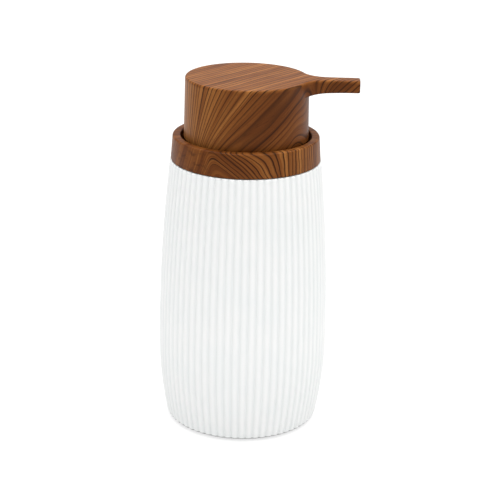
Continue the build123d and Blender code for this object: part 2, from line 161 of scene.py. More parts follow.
def rounded_path(corners):
    """Points of a path through (radius, height, rounding) corners.

    At each corner an arc touches both sides: it starts rounding * tan(turn / 2) before the
    corner and bends by the whole turn.
    """
    points = []
    for index, (radius, height, rounding) in enumerate(corners):
        here = np.array([radius, height])
        if rounding == 0:
            points.append(here)
            continue
        before = unit(here - corners[index - 1][:2])
        after = unit(np.array(corners[(index + 1) % len(corners)][:2]) - here)
        turn = math.atan2(before[0] * after[1] - before[1] * after[0], before @ after)
        start = here - before * rounding * math.tan(abs(turn) / 2)
        side = math.copysign(1.0, turn) * np.array([-before[1], before[0]])
        angles = np.linspace(0, abs(turn), ARC_STEPS + 1)[:, None]
        points.extend(start + rounding * (np.sin(angles) * before + (1 - np.cos(angles)) * side))
    return np.array(points)


def grid_faces(rows, columns, closed_columns=True, closed_rows=False):
    """Quads of a grid of points, numbered row by row; a closed side joins its last to its first."""
    i = np.arange(rows if closed_rows else rows - 1)[:, None]
    j = np.arange(columns if closed_columns else columns - 1)[None, :]
    below, above = i * columns, ((i + 1) % rows) * columns
    right = (j + 1) % columns
    return np.stack([below + j, below + right, above + right, above + j], axis=-1).reshape(-1, 4)


def ring_points(path, turns, dent=0.0):
    """Path (radius, height) carried round the axis: radius less dent, at each angle of turns."""
    radius = path[:, :1] - dent
    x, y = radius * np.cos(turns), radius * np.sin(turns)
    z = np.broadcast_to(path[:, 1:], x.shape)
    return np.stack([x, y, z], axis=-1).reshape(-1, 3)


# %% From points to a finished piece
SMOOTH_ANGLE = math.radians(32)
WELD = 2e-6  # metres
TINY_EDGE = 1e-7  # metres


def finish_mesh(mesh):
    """Welds seams and poles, smooths what is round, keeps true edges sharp, counts open edges."""
    work = bmesh.new()
    work.from_mesh(mesh)
    bmesh.ops.remove_doubles(work, verts=work.verts, dist=WELD)
    bmesh.ops.dissolve_degenerate(work, edges=work.edges, dist=TINY_EDGE)
    open_edges = sum(1 for edge in work.edges if not edge.is_manifold)
    work.to_mesh(mesh)
    work.free()
    mesh.shade_smooth()
    mesh.set_sharp_from_angle(angle=SMOOTH_ANGLE)
    return open_edges


def make_piece(name, points, faces, body, replaces):
    """Object from points in millimetres, riding on a body in place of one CAD node."""
    mesh = bpy.data.meshes.new(name)
    mesh.from_pydata((np.asarray(points) * MM).tolist(), [], [list(map(int, f)) for f in faces])
    open_edges = finish_mesh(mesh)
    piece = bpy.data.objects.new(name, mesh)
    bpy.context.scene.collection.objects.link(piece)
    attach(piece, body)
    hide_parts(replaces)
    triangles = sum(len(p.vertices) - 2 for p in mesh.polygons)
    print(f"{name}: {triangles} triangles, {open_edges} open edges")
    return piece


# %% [markdown]
# ## The fluted bottle
#
# The bottle is taken to be slip-cast stoneware with a fine reeded skin: sixty-eight rounded
# reeds with a narrow valley between each two.  They could be modelled one by one, or faked with bump.
# Here one grid carries them: the side's outline is two arcs that meet upright at the belly, and
# every point is pushed in by an amount that depends only on its angle, so the reeds narrow
# towards both ends as cast reeds do.

# %% The bottle's side
belly_height = 40.0
belly_radius = 40.75
rim_radius = 35.7
base_radius = 36.6
wall = 4.2


def arc_through(end_radius, end_height):
    """Radius of the arc that is upright at the belly and passes one end of the side."""
    rise, inset = end_height - belly_height, belly_radius - end_radius
    return (rise**2 + inset**2) / (2 * inset)


bottle_foot, bottle_top = bottle_low[2], bottle_high[2]
upper_arc = arc_through(rim_radius, bottle_top)
lower_arc = arc_through(base_radius, bottle_foot)


def side_radius(height, inset=0.0):
    """Radius of the side, or of a skin inset inside it: belly - arc + root((arc - inset)^2 - rise^2)."""
    arc = np.where(height > belly_height, upper_arc, lower_arc)
    return belly_radius - arc + np.sqrt((arc - inset) ** 2 - (height - belly_height) ** 2)


def side_corners(heights, inset=0.0):
    """Corners with no rounding along the side."""
    return [(float(side_radius(h, inset)), float(h), 0) for h in heights]


# %% The reeds
reed_count = 68
reed_turn = math.radians(0.9)
reed_depth = 0.8
reed_columns = 10  # grid columns in one reed
reed_fullness = 0.86  # 1 is a half-round reed, less is flatter


def reed_dent(turns):
    """Depth below the crest at each angle: a round back, deepest midway between two crests."""
    phase = (turns - reed_turn) * reed_count / math.tau
    across = 2 * (phase - np.floor(phase)) - 1  # -1 and 1 in the valleys, 0 on the crest
    back = 1 - np.sqrt(1 - (reed_fullness * across) ** 2)
    return reed_depth * back / (1 - math.sqrt(1 - reed_fullness**2))


# %% The bottle's whole outline
pad_recess = 0.8
pad_recess_radius = 34.0
rim_inner_radius = 31.4
shoulder_height = bottle_top - 3.0
mouth_radius = 17.6
ceiling_height = shoulder_height - 5.0
floor_height = bottle_foot + 5.5
side_rows = 44
side_start = 3.4  # mm above the foot, clear of the base's rounding
side_end = 1.2  # mm below the rim, clear of its rounding
inner_margin = 5.0  # mm kept clear of the inner corners' rounding

outer_heights = np.linspace(bottle_foot + side_start, bottle_top - side_end, side_rows)
inner_heights = np.linspace(
    ceiling_height - inner_margin, floor_height + inner_margin, side_rows // 3
)
bottle_corners = (
    [
        (0, bottle_foot + pad_recess, 0),
        (pad_recess_radius, bottle_foot + pad_recess, 0),
        (pad_recess_radius, bottle_foot, 0.2),
        (base_radius, bottle_foot, 2.0),
    ]
    + side_corners(outer_heights)
    + [
        (rim_radius, bottle_top, 0.5),
        (rim_inner_radius, bottle_top, 0.5),
        (rim_inner_radius, shoulder_height, 0.3),
        (mouth_radius, shoulder_height, 0.4),
        (mouth_radius, ceiling_height, 0.4),
        (float(side_radius(ceiling_height, wall)), ceiling_height, 4.0),
    ]
    + side_corners(inner_heights, wall)
    + [(float(side_radius(floor_height, wall)), floor_height, 4.0), (0, floor_height, 0)]
)


def ease(value, low, high):
    """0 below low, 1 above high, and a smooth step between."""
    share = np.clip((value - low) / (high - low), 0, 1)
    return share * share * (3 - 2 * share)


def make_bottle():
    """Grid of the outline's rows by the reeds' columns, dented only where the skin faces out."""
    path = rounded_path(bottle_corners)
    step = np.gradient(path, axis=0)
    facing_out = step[:, 1] / np.linalg.norm(step, axis=1)
    columns = reed_count * reed_columns
    turns = reed_turn + (np.arange(columns) + 0.5) * math.tau / columns
    dent = ease(facing_out, 0.1, 0.75)[:, None] * reed_dent(turns)[None, :]
    points = ring_points(path, turns, dent)
    return make_piece(
        "fluted_bottle", points, grid_faces(len(path), len(turns)), "bottle", "bottle_body"
    )


fluted_bottle = make_bottle()

# %% [markdown]
# ## The collar ring
#
# The collar is a turned ring with a sunk floor that the head drops into.  Only its rounded top
# edges catch the light, so the outline spends its points there.

# %% The collar ring
collar_columns = 288
collar_foot = bottle_top + 0.3
collar_top = collar_foot + 11.5
collar_floor = collar_foot + 1.2
collar_bore = 30.8
collar_top_radius = 34.5
spigot_radius = 31.1
sleeve_bore = 18.65
sleeve_radius = 19.95
sleeve_height = 12.0
collar_floor_thickness = 2.0
spigot_wall = 1.6
collar_corners = [
    (sleeve_bore, collar_floor - collar_floor_thickness, 0),
    (spigot_radius - spigot_wall, collar_floor - collar_floor_thickness, 0.3),
    (spigot_radius - spigot_wall, collar_low[2], 0.3),
    (spigot_radius, collar_low[2], 0.3),
    (spigot_radius, collar_foot, 0.1),
    (collar_high[0], collar_foot, 0.35),
    (collar_top_radius, collar_top, 0.9),
    (collar_bore, collar_top, 0.6),
    (collar_bore, collar_floor, 0.5),
    (sleeve_radius, collar_floor, 0.5),
    (sleeve_radius, collar_floor + sleeve_height, 0.3),
    (sleeve_bore, collar_floor + sleeve_height, 0.3),
]


def even_turns(count):
    """Angles evenly round a circle."""
    return np.arange(count) * math.tau / count


def make_collar():
    """Closed outline carried round the axis."""
    path = rounded_path(collar_corners)
    turns = even_turns(collar_columns)
    faces = grid_faces(len(path), collar_columns, closed_rows=True)
    return make_piece("collar_skin", ring_points(path, turns), faces, "collar", "collar_ring")


collar_skin = make_collar()

# %% [markdown]
# ## The pump head
#
# The head is a round cap whose top runs out flat into a spout.  A boolean of a cylinder and a
# box would leave a hard seam where the real moulding flares, so the skin is laid along the
# outline seen from above: a circle, a concave web, a straight bar, a rounded tip, and back.
# At each point of that outline a wall goes down, and a small quarter round leads onto the top.

# %% The head's outline from above
head_top, head_foot = head_high[2], head_low[2]
spout_reach = head_high[0]
skirt_radius = -head_low[0]
head_radius = skirt_radius - 0.5
spout_half = 3.6
web_radius = 12.0
tip_round = 1.2
edge_round = 0.9
spout_deep = 7.2  # spout's depth at the head
spout_thin = 5.8  # and at the tip
under_round = 0.4
across_steps = 16  # grid columns across the spout
web_steps, bar_steps, back_steps = 18, 6, 200

web_across = spout_half + web_radius
web_along = math.sqrt((head_radius + web_radius) ** 2 - web_across**2)
touch_turn = math.atan2(web_across, web_along)
across_shares = np.concatenate([[-1], np.linspace(-0.93, 0.93, across_steps - 1), [1]])


def half_spout():
    """Points and outward directions from the touch point to the tip's corner, on the +Y side."""
    web = np.linspace(touch_turn - math.pi, -math.pi / 2, web_steps)
    web_out = -np.stack([np.cos(web), np.sin(web)], axis=-1)
    web_points = np.array([web_along, web_across]) - web_radius * web_out
    bar_x = np.linspace(web_along, spout_reach - tip_round, bar_steps)[1:-1]
    bar_points = np.stack([bar_x, np.full_like(bar_x, spout_half)], axis=-1)
    bar_out = np.broadcast_to([0.0, 1.0], bar_points.shape)
    corner = np.linspace(math.pi / 2, 0, ARC_STEPS + 1)
    corner_out = np.stack([np.cos(corner), np.sin(corner)], axis=-1)
    corner_points = np.array([spout_reach - tip_round, spout_half - tip_round]) + tip_round * corner_out
    return np.vstack([web_points, bar_points, corner_points]), np.vstack([web_out, bar_out, corner_out])


def draft(height):
    """How far the tapered side stands out of the top circle at a height."""
    share = (head_top - edge_round - height) / (head_top - edge_round - head_foot)
    return (skirt_radius - head_radius) * np.clip(share, 0, 1)


def under_height(x):
    """Height of the spout's underside: a bow that rises quickly and flattens towards the tip."""
    start = head_radius - 2.0
    share = np.clip((x - start) / (spout_reach - start), 0, 1)
    return head_top - spout_deep + (spout_deep - spout_thin) * (1 - (1 - share) ** 2.2)


# %% The head's patches
wall_rows = 5
skirt_rows = 8
quarter = np.linspace(0, math.pi / 2, ARC_STEPS + 1)


def wall_patch(base, out, share, low):
    """Wall, quarter round and a narrow flat ring, for columns of base points.

    share scales the side's draft, and low is each column's lowest wall height.
    """
    top = head_top - edge_round
    heights = low[None, :] + (top - low)[None, :] * np.linspace(0, 1, wall_rows)[:, None]
    rows = [base + out * (draft(h) * share)[:, None] for h in heights]
    levels = list(heights)
    for angle in quarter[1:]:
        rows.append(base - out * edge_round * (1 - math.cos(angle)))
        levels.append(np.full(len(base), top + edge_round * math.sin(angle)))
    rows.append(base - out * (edge_round + 0.25))
    levels.append(np.full(len(base), head_top))
    return np.stack([np.column_stack([row, level]) for row, level in zip(rows, levels)])


def lower_edge(base, out, share, low, rounding):
    """Quarter round from the underside up to the wall; it fades out where rounding is nought."""
    rows = []
    for angle in quarter[::-1]:
        level = low + rounding * (1 - np.sin(angle))
        inward = (draft(level) * share - rounding * (1 - np.cos(angle)))[:, None]
        rows.append(np.column_stack([base + out * inward, level]))
    return np.stack(rows)


def spout_strip():
    """All columns of the spout, from the touch point on the -Y side round the tip to the +Y side."""
    points, out = half_spout()
    flip = np.array([1.0, -1.0])
    tip_y = (spout_half - tip_round) * across_shares[1:-1]
    tip = np.column_stack([np.full_like(tip_y, spout_reach), tip_y])
    base = np.vstack([points * flip, tip, points[::-1]])
    tip_out = np.broadcast_to([1.0, 0.0], tip.shape)
    outward = np.vstack([out * flip, tip_out, out[::-1]])
    fade = 1 - ease(base[:, 0], points[0, 0], web_along)
    return base, outward, fade


def underside(points, out, fade, low, rounding):
    """Rows from the head's wall to the tip, each from the -Y edge to the +Y edge.

    The first row follows the head's circle, and the bulge fades out along the web.
    """
    shift = out * (draft(low) * fade - rounding)[:, None]
    edge = points + shift
    swing = touch_turn * across_shares
    bulge = 1 - ease(edge[:, 0], edge[0, 0], web_along)[:, None]
    radius = head_radius + draft(low[0])
    x = edge[:, :1] + bulge * radius * (np.cos(swing) - math.cos(touch_turn))[None, :]
    y = edge[:, 1:] * across_shares[None, :]
    z = under_height(x - shift[:, :1])
    first = head_radius + draft(z[0])
    x[0], y[0] = first * np.cos(swing), first * np.sin(swing)
    return np.stack([x, y, z], axis=-1)


def skirt_columns(turns, top_levels):
    """Wall rows below the spout's level on the tapered circle, from the skirt up to top_levels."""
    start = head_foot + skirt_round
    heights = start + (top_levels - start)[None, :] * np.linspace(0, 1, skirt_rows)[:, None]
    radius = head_radius + draft(heights)
    return np.stack([radius * np.cos(turns), radius * np.sin(turns), heights], axis=-1)


# %% The hollow inside the head
skirt_round = 0.4
head_wall = 2.0
step_width = 1.6
step_height = head_top - 5.3
roof_height = head_top - 1.6
step_radius = head_radius + draft(step_height) - head_wall


def hollow_path():
    """Outline of the hollow, from the middle of the roof out and down to the skirt's outer edge."""
    inner = skirt_radius - head_wall
    return rounded_path(
        [
            (0, roof_height, 0),
            (head_radius - head_wall - step_width, roof_height, 0.4),
            (float(step_radius) - step_width, step_height, 0.2),
            (float(step_radius), step_height, 0.2),
            (inner, head_foot, 0.3),
            (skirt_radius, head_foot, skirt_round),
            (head_radius + float(draft(head_foot + 2 * skirt_round)), head_foot + 2 * skirt_round, 0),
        ]
    )


# %% Joining the head's patches
class Patches:
    """Collects point grids, and the faces over them, into one mesh."""

    def __init__(self):
        self.points, self.faces, self.count = [], [], 0

    def add(self, grid, closed_columns=False):
        """Adds a rows x columns grid of points and its quads."""
        rows, columns = grid.shape[:2]
        self.faces.extend((grid_faces(rows, columns, closed_columns) + self.count).tolist())
        self.points.append(grid.reshape(-1, 3))
        self.count += rows * columns

    def cap(self, loop):
        """Adds one flat face over a loop of points."""
        self.faces.append(list(range(self.count, self.count + len(loop))))
        self.points.append(loop)
        self.count += len(loop)


def make_head():
    """Back wall, spout, underside, skirt and hollow, welded along their shared edges."""
    patches = Patches()
    points, out = half_spout()
    base, outward, fade = spout_strip()
    low = under_height(base[:, 0])
    rounding = under_round * (1 - fade)
    patches.add(lower_edge(base, outward, fade, low, rounding))
    spout_wall = wall_patch(base, outward, fade, low + rounding)
    patches.add(spout_wall)

    back = np.linspace(touch_turn, math.tau - touch_turn, back_steps)
    circle = np.column_stack([np.cos(back), np.sin(back)])
    back_low = np.full(back_steps, under_height(points[0, 0]))
    back_wall = wall_patch(head_radius * circle, circle, np.ones(back_steps), back_low)
    patches.add(back_wall)
    patches.cap(np.vstack([back_wall[-1][:-1], spout_wall[-1][:-1]]))

    half_fade = 1 - ease(points[:, 0], points[0, 0], web_along)
    half_low = under_height(points[:, 0])
    belly = underside(points, out, half_fade, half_low, under_round * (1 - half_fade))
    patches.add(belly)
    front = touch_turn * across_shares
    patches.add(skirt_columns(back, back_low))
    patches.add(skirt_columns(front, belly[0, :, 2]))

    path = hollow_path()
    path[-1] = (head_radius + draft(head_foot + skirt_round), head_foot + skirt_round)
    turns = np.concatenate([back[:-1], front[:-1]])
    patches.add(ring_points(path, turns).reshape(len(path), len(turns), 3), closed_columns=True)
    return make_piece(
        "head_skin", np.vstack(patches.points), patches.faces, "head", "head_shell"
    )


head_skin = make_head()

# %% The outlet's hole in the spout
outlet_height = head_top - 3.2
outlet_bore = 1.55
bore_sides = 48
bore_inside = 6.0  # mm, how far inside the head's circle the bar starts
bore_past = 2.0  # mm, how far past the tip it ends


def drill(piece, radius, height, start, end):
    """Cuts a round hole along X through a piece: a boolean with a plain bar, applied at once."""
    turns = even_turns(bore_sides)
    circle = np.stack(
        [np.zeros(bore_sides), radius * np.cos(turns), radius * np.sin(turns) + height], axis=-1
    )
    ends = np.vstack([circle + [start, 0, 0], circle + [end, 0, 0]])
    faces = grid_faces(2, bore_sides).tolist()
    faces += [list(range(bore_sides))[::-1], list(range(bore_sides, 2 * bore_sides))]
    mesh = bpy.data.meshes.new("bar")
    mesh.from_pydata((ends * MM).tolist(), [], faces)
    bar = bpy.data.objects.new("bar", mesh)
    bpy.context.scene.collection.objects.link(bar)
    cut = piece.modifiers.new("outlet", "BOOLEAN")
    cut.object, cut.operation, cut.solver = bar, "DIFFERENCE", "EXACT"
    bpy.context.view_layer.update()
    cut_piece = piece.evaluated_get(bpy.context.evaluated_depsgraph_get())
    drilled = bpy.data.meshes.new_from_object(cut_piece)
    piece.modifiers.clear()
    piece.data = drilled
    bpy.data.objects.remove(bar)
    print(piece.name, "drilled,", finish_mesh(drilled), "open edges")


drill(head_skin, outlet_bore, outlet_height, head_radius - bore_inside, spout_reach + bore_past)

# %% [markdown]
# ## The return spring
#
# Compression springs end in dead coils that lie flat against their seats.  A helix with one
# pitch would look like a corkscrew cut off at both ends, so the pitch changes along the wire:
# closed at the ends and open between.  The wire is a round section carried along that path.

# %% The return spring
spring_wire = 0.8
spring_coils = 6.5
spring_radius = spring_high[0] - spring_wire / 2
closed_coils = 0.9  # dead coils at each end
steps_per_coil = 36
wire_sides = 14


def helix_rise(turn):
    """Share of the rise at each turn: nearly flat in the dead coils, steady between them."""
    pitch = 0.35 + ease(turn, closed_coils * 0.5, closed_coils * 1.4) * ease(
        spring_coils - turn, closed_coils * 0.5, closed_coils * 1.4
    )
    rise = np.concatenate([[0], np.cumsum((pitch[1:] + pitch[:-1]) / 2)])
    return rise / rise[-1]


def make_spring():
    """Tube round the helix (R cos a, R sin a, rise), with its own normal and binormal at each step."""
    turn = np.linspace(0, spring_coils, int(spring_coils * steps_per_coil) + 1)
    angle = turn * math.tau
    low, high = spring_low[2] + spring_wire / 2, spring_high[2] - spring_wire / 2
    level = low + (high - low) * helix_rise(turn)
    line = np.stack([spring_radius * np.cos(angle), spring_radius * np.sin(angle), level], axis=-1)
    along = np.gradient(line, axis=0)
    along /= np.linalg.norm(along, axis=1)[:, None]
    outward = np.stack([np.cos(angle), np.sin(angle), np.zeros_like(angle)], axis=-1)
    side = np.cross(along, outward)
    around = even_turns(wire_sides)[None, :, None]
    section = np.cos(around) * outward[:, None, :] + np.sin(around) * side[:, None, :]
    points = (line[:, None, :] + spring_wire / 2 * section).reshape(-1, 3)
    faces = grid_faces(len(line), wire_sides).tolist()
    last = len(points) - wire_sides
    faces += [list(range(wire_sides))[::-1], list(range(last, last + wire_sides))]
    return make_piece("return_coil", points, faces, "pump_core", "return_spring")


return_coil = make_spring()
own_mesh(return_coil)

# %% [markdown]
# ## Shader maths as Python
#
# A procedural finish is arithmetic on coordinates.  Wiring Math nodes by hand hides the formula,
# so a small class wraps a socket: an expression such as `1 - grain * 0.5` adds the nodes itself.
# Every other node comes from one method that takes its type, its settings and its inputs.

# %% The socket class
class Wire:
    """One output socket of a finish; arithmetic on it adds Math nodes."""

    def __init__(self, finish, socket):
        self.finish, self.socket = finish, socket

    def math(self, operation, *others):
        """Math node with this socket first."""
        return self.finish.node("Math", {"operation": operation}, self, *others)

    def __add__(self, other):
        return self.math("ADD", other)

    def __sub__(self, other):
        return self.math("SUBTRACT", other)

    def __rsub__(self, other):
        return self.finish.node("Math", {"operation": "SUBTRACT"}, other, self)

    def __mul__(self, other):
        return self.math("MULTIPLY", other)

    def __truediv__(self, other):
        return self.math("DIVIDE", other)

    def __pow__(self, other):
        return self.math("POWER", other)

    __radd__ = __add__
    __rmul__ = __mul__

    def clamp(self, low=0.0, high=1.0):
        """Keeps the value between two numbers."""
        return self.math("MAXIMUM", low).math("MINIMUM", high)

    def step(self, low, high):
        """0 below low, 1 above high and smooth between: 3 t^2 - 2 t^3."""
        share = ((self - low) / (high - low)).clamp()
        return share * share * (3 - share * 2)


# %% The finish class
class Finish:
    """A material with one Principled shader, and the nodes that feed it."""

    def __init__(self, name, **constants):
        self.material = bpy.data.materials.new(name)
        self.material.use_nodes = True
        self.nodes = self.material.node_tree.nodes
        self.links = self.material.node_tree.links
        self.shader = self.nodes["Principled BSDF"]
        self.set(**constants)

    def put(self, value, socket):
        """Links a wire to a socket, or sets the socket to a number or a colour."""
        if isinstance(value, Wire):
            self.links.new(value.socket, socket)
        elif isinstance(value, tuple) and len(value) == 3 and socket.type == "RGBA":
            socket.default_value = (*value, 1.0)
        else:
            socket.default_value = value

    def set(self, **values):
        """Feeds the Principled shader: base_color=... is its Base Color, and so on."""
        for name, value in values.items():
            words = " ".join(w if w == "IOR" else w.capitalize() for w in name.split("_"))
            self.put(value, self.shader.inputs[words])

    def node(self, kind, settings, *values, output=0, **named):
        """Adds ShaderNode<kind>, sets its properties, then its inputs in order or by name."""
        node = self.nodes.new("ShaderNode" + kind)
        for name, value in settings.items():
            setattr(node, name, value)
        for socket, value in zip(node.inputs, values):
            self.put(value, socket)
        for name, value in named.items():
            self.put(value, node.inputs[name])
        return Wire(self, node.outputs[output])

    def place(self):
        """Object coordinates x, y, z in millimetres."""
        split = self.node("SeparateXYZ", {}, self.node("TexCoord", {}, output="Object"))
        outputs = split.socket.node.outputs
        return [Wire(self, socket) / MM for socket in outputs]

    def vector(self, x, y, z):
        """Vector from three values."""
        return self.node("CombineXYZ", {}, x, y, z)

    def noise(self, x, y, z, detail=2.0, roughness=0.5):
        """Noise from 0 to 1 at a point given by three values."""
        return self.node(
            "TexNoise", {}, Vector=self.vector(x, y, z), Scale=1.0, Detail=detail, Roughness=roughness
        )

    def mix(self, factor, first, second):
        """Colour between two colours."""
        node = self.nodes.new("ShaderNodeMix")
        node.data_type = "RGBA"
        self.put(factor, node.inputs[0])
        self.put(first, node.inputs[6])
        self.put(second, node.inputs[7])
        return Wire(self, node.outputs[2])

    def bump(self, height, distance, strength=1.0):
        """Bump from a height that runs from 0 to 1, at a depth in millimetres."""
        bump = self.node("Bump", {}, Strength=strength, Distance=distance * MM, Height=height)
        self.set(normal=bump)


def cover(finish, *pieces):
    """Gives the finish to new pieces, and to CAD nodes through their own slots."""
    for piece in pieces:
        if not piece.data.materials:
            piece.data.materials.append(finish.material)
        for slot in piece.material_slots:
            slot.material = finish.material


# %% [markdown]
# ## Matt stoneware
#
# The bottle is white stoneware with a dry matt glaze: nearly even, a little cool, with a soft
# mottle where the glaze lies thicker.  Plain white plastic would look too clean, so two sizes
# of noise move the colour by a percent or two, and a fine one roughens the skin.  Painted shade
# greys the valleys between the reeds and the shoulder below the collar, and a narrow dark line
# of painted contact shadow runs round the foot.

# %% Stoneware
painted_valley_strength = 0.30  # painted shade: how much greyer the valleys between the reeds are made
painted_shoulder_shade = 0.055  # painted shade: how much greyer it is made towards the shoulder, below the collar
foot_shadow_height = 1.3  # mm of painted contact shadow, a dark line at the foot
foot_shadow_strength = 0.75  # how fully that painted shadow hides the white
painted_valley_edges = (0.12, 0.95)  # where the painted valley shade begins and is full, from 0 on the crest to 1
# colour of the painted shade in the valleys
painted_valley_grey = (0.61, 0.64, 0.64)
# colour of the painted contact shadow at the foot
foot_shadow_grey = (0.20, 0.205, 0.20)
mottle_size, speck_size, grit_size = 14, 1.6, 0.7  # mm


def make_stoneware():
    """White between a cool and a warm tone by slow noise, then painted shade in the valleys and on the
    shoulder, and a painted shadow at the foot.
    """
    finish = Finish("stoneware", specular_IOR_level=0.3)
    x, y, z = finish.place()
    slow = finish.noise(x / mottle_size, y / mottle_size, z / mottle_size, detail=3.0)
    fine = finish.noise(x / grit_size, y / grit_size, z / grit_size, detail=3.0)
    specks = finish.noise(x / speck_size, y / speck_size, z / speck_size, detail=1.0)
    specks = specks.step(0.68, 0.78)
    white = finish.mix(slow.step(0.3, 0.7), (0.790, 0.803, 0.799), (0.812, 0.815, 0.809))
    white = finish.mix(specks * 0.05, white, (0.60, 0.57, 0.52))
    # Painted shade: the valleys between the reeds are greyed, standing in for the shade that gathers there.
    phase = (y.math("ARCTAN2", x) - reed_turn) * (reed_count / math.tau)
    painted_valley_mask = ((phase.math("FRACT") - 0.5).math("ABSOLUTE") * 2).step(*painted_valley_edges)
    outside = (x * x + y * y).math("SQRT").step(rim_inner_radius, rim_inner_radius + 1.0)
    white = finish.mix(painted_valley_mask * outside * painted_valley_strength, white, painted_valley_grey)
    # Painted shade: the bottle is made greyer towards the shoulder, below the collar.
    white = finish.mix(z.step(belly_height, bottle_top) * painted_shoulder_shade, white, (0.0, 0.0, 0.0))
    # Painted shadow: a dark line round the foot, where the bottle meets the floor.
    foot_shadow = (1 - z.step(bottle_foot + foot_shadow_height * 0.5, bottle_foot + foot_shadow_height)) * foot_shadow_strength
    white = finish.mix(foot_shadow, white, foot_shadow_grey)
    finish.set(base_color=white, roughness=0.5 + slow * 0.12)
    finish.bump(fine, 0.03, 0.5)
    return finish


stoneware = make_stoneware()
cover(stoneware, fluted_bottle)

# %% [markdown]
# ## The wood look
#
# Head and collar are taken to be moulded, with a printed wood film under a satin coat.  The
# grain is therefore a pattern laid on the surface: straight stripes over the top that run down
# the side at a slant, and on the collar a cathedral figure, nested arches beside straight grain.
# Both are the same wood, so one function makes its colour from two numbers: the distance across
# the grain and the distance along it.

# %% Colour of the wood across and along the grain
dark_line = (0.030, 0.0090, 0.0018)
red_brown = (0.098, 0.0270, 0.0048)
mid_brown = (0.180, 0.0580, 0.0115)
golden = (0.295, 0.1150, 0.0280)
line_strength = 0.90
wood_gloss = 0.08


def grain_colour(finish, across, along, warm, ring_width, figure):
    """Wood colour at (across, along) in millimetres; warm runs from 0 red to 1 golden.

    Each growth ring darkens slowly and ends sharply, at share = fract(across / width + noise).
    Broad bands and narrower stripes carry the tone, and figure sets how strong the rings are.
    """
    broad = finish.noise(across / 6, along / 90, 0.0, detail=2.0)
    stripes = finish.noise(across / 2.6, along / 60, 4.0, detail=2.0)
    hair = finish.noise(across / 0.55, along / 26, 9.0, detail=2.0, roughness=0.6)
    ring = across / ring_width + finish.noise(across / 5, along / 70, 13.0, detail=1.0) * 1.1
    share = ring.math("FRACT")
    late = share.step(0.40, 0.86) * (1 - share.step(0.88, 1.0))
    each = finish.noise(ring.math("FLOOR") * 5.37, along / 70, 17.0, detail=0.0).step(0.25, 0.7)
    lines = late * late * (0.5 + each * 0.5) * (0.55 + hair * 0.75) * figure
    pores = finish.noise(across / 0.28, along / 2.6, 31.0, detail=1.0).step(0.62, 0.74)
    tone = (broad * 0.9 + stripes * 0.9 + hair * 1.1 + warm * 0.6 - 1.35).step(-0.1, 0.9)
    colour = finish.mix(tone.step(0.0, 0.55), red_brown, mid_brown)
    colour = finish.mix(tone.step(0.45, 1.0), colour, golden)
    colour = finish.mix(hair.step(0.50, 0.72) * 0.65, colour, red_brown)
    colour = finish.mix(pores * 0.45, colour, dark_line)
    return finish.mix(lines * line_strength, colour, dark_line), hair, lines


def coat_wood(finish, colour, hair, lines):
    """Satin film: the grain shows a little in the gloss and hardly at all in the relief."""
    finish.set(base_color=colour, roughness=0.34 + hair * 0.12)
    finish.bump(hair * 0.6 + (1 - lines) * 0.4, 0.03, 0.35)


# %% The head's grain
stripe_turn = math.atan2(0.8, 0.6)  # direction of the stripes on the top
grain_lean = 0.65  # how far the stripes lean, per millimetre of drop, in the middle
head_ring = 2.3  # width of one growth ring, mm
head_grain_shift = 40.0  # mm across the grain, picks which stretch of it shows
deepest_drop = 40.0  # mm, more than the head is tall
start_guesses = 4
spout_change = (22.0, 42.0)  # mm along X over which the spout's own stripes take over
warm_change = (-30.0, 14.0)  # mm along X over which the side goes from golden to red


def make_head_wood():
    """Straight stripes on the top; on the side the point is turned about Z by lean * drop / R.

    A stripe's lean depends on the azimuth where it left the top: 1 + cos in front, falling
    evenly to nought at the back.  That start is found by putting it back in four times, which
    keeps each stripe straight.  Out on the spout the point is shifted along X by the drop.
    """
    finish = Finish("wood_head", specular_IOR_level=wood_gloss)
    x, y, z = finish.place()
    drop = (head_top - z).clamp(0.0, deepest_drop)
    azimuth = y.math("ARCTAN2", x)
    start = azimuth
    for guess in range(start_guesses):
        in_front = start.math("MINIMUM", 0.0).math("COSINE") + 1
        lean = in_front - start.math("MAXIMUM", 0.0) * (2 / math.pi)
        start = azimuth + lean * grain_lean * drop / head_radius
    turn = start - azimuth
    cos_turn, sin_turn = turn.math("COSINE"), turn.math("SINE")
    on_spout = x.step(*spout_change)
    east = (x * cos_turn - y * sin_turn) * (1 - on_spout) + (x + drop) * on_spout
    north = (x * sin_turn + y * cos_turn) * (1 - on_spout) + y * on_spout
    wave = finish.noise(x / 26, y / 26, z / 26, detail=1.0)
    across = north * math.cos(stripe_turn) - east * math.sin(stripe_turn) + wave * 1.6
    along = north * math.sin(stripe_turn) + east * math.cos(stripe_turn) + drop * 1.1
    on_side = drop.step(0.3, 2.0)
    # On the top, warm is held at 0.45, set high as painted light: it lightens the flat top, as light from
    # above does; the side's change from golden to red is the film's own.
    warm = ((1 - x.step(*warm_change)) * 0.8 - 0.45) * on_side + 0.45 + wave * 0.3
    figure = 1.6 - on_side * 0.4
    colour, hair, lines = grain_colour(
        finish, across + head_grain_shift, along, warm, head_ring, figure
    )
    coat_wood(finish, colour, hair, lines)
    return finish


# %% The collar's grain
arch_azimuth = -107.3  # degrees, where the nested arches stand
arch_lean = 1.35  # how far the arch's right flank leans, per millimetre of height
arch_lean_fade = (5.0, 36.0)  # mm round the ring over which that lean fades out
arch_reach = (40.0, 90.0)  # mm round the ring over which both flanks turn upright
arch_round = 10.0  # mm squared, rounds the arches' tops
arch_guesses = 3
left_climb = 0.3  # left flank, per millimetre of height
left_slope = 1.3  # and per millimetre round the ring
left_slope_loss = 0.3  # what that slope loses over left_fade
left_fade = (12.0, 40.0)  # mm round the ring
grain_height = 13.0  # mm, a little more than the ring is tall
collar_ring_width = 2.0  # width of one growth ring, mm
collar_grain_shift = 11.0  # mm across the grain, picks which stretch of it shows


def smooth_larger(first, second, blend):
    """Larger of two values with a rounded corner: mean + root(half difference ^ 2 + blend)."""
    half = (first - second) * 0.5
    return (first + second) * 0.5 + (half * half + blend).math("SQRT")


